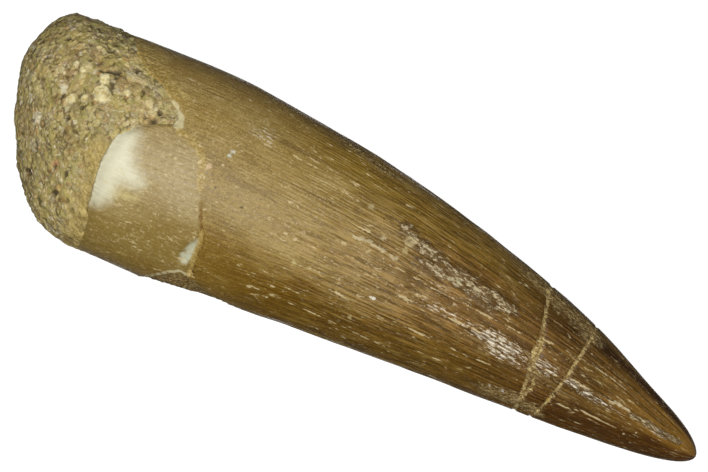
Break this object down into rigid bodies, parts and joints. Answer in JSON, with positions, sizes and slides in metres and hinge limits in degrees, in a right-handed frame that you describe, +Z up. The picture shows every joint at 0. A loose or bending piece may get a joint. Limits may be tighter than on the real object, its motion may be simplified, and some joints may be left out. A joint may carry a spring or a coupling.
{
  "type": "fossil plesiosaur tooth",
  "caption": "Curved conical fossil reptile tooth lying on its side, finely ridged, with crossing cracks and grainy sandstone in its broken root end.",
  "frame": {"origin": "middle of the bounding box, on the surface that the fossil lies on", "axes": "+X along the tooth from the sandstone end to the tip, +Z up, +Y towards the convex side of its bend"},
  "size_m": [0.0452, 0.0132, 0.0108],
  "materials": {
    "enamel": "semi-gloss, finely striated",
    "sandstone": "rough, grainy"
  },
  "bodies": {
    "root": {"tooth": "enamel", "matrix": "sandstone"}
  },
  "joints": []
}
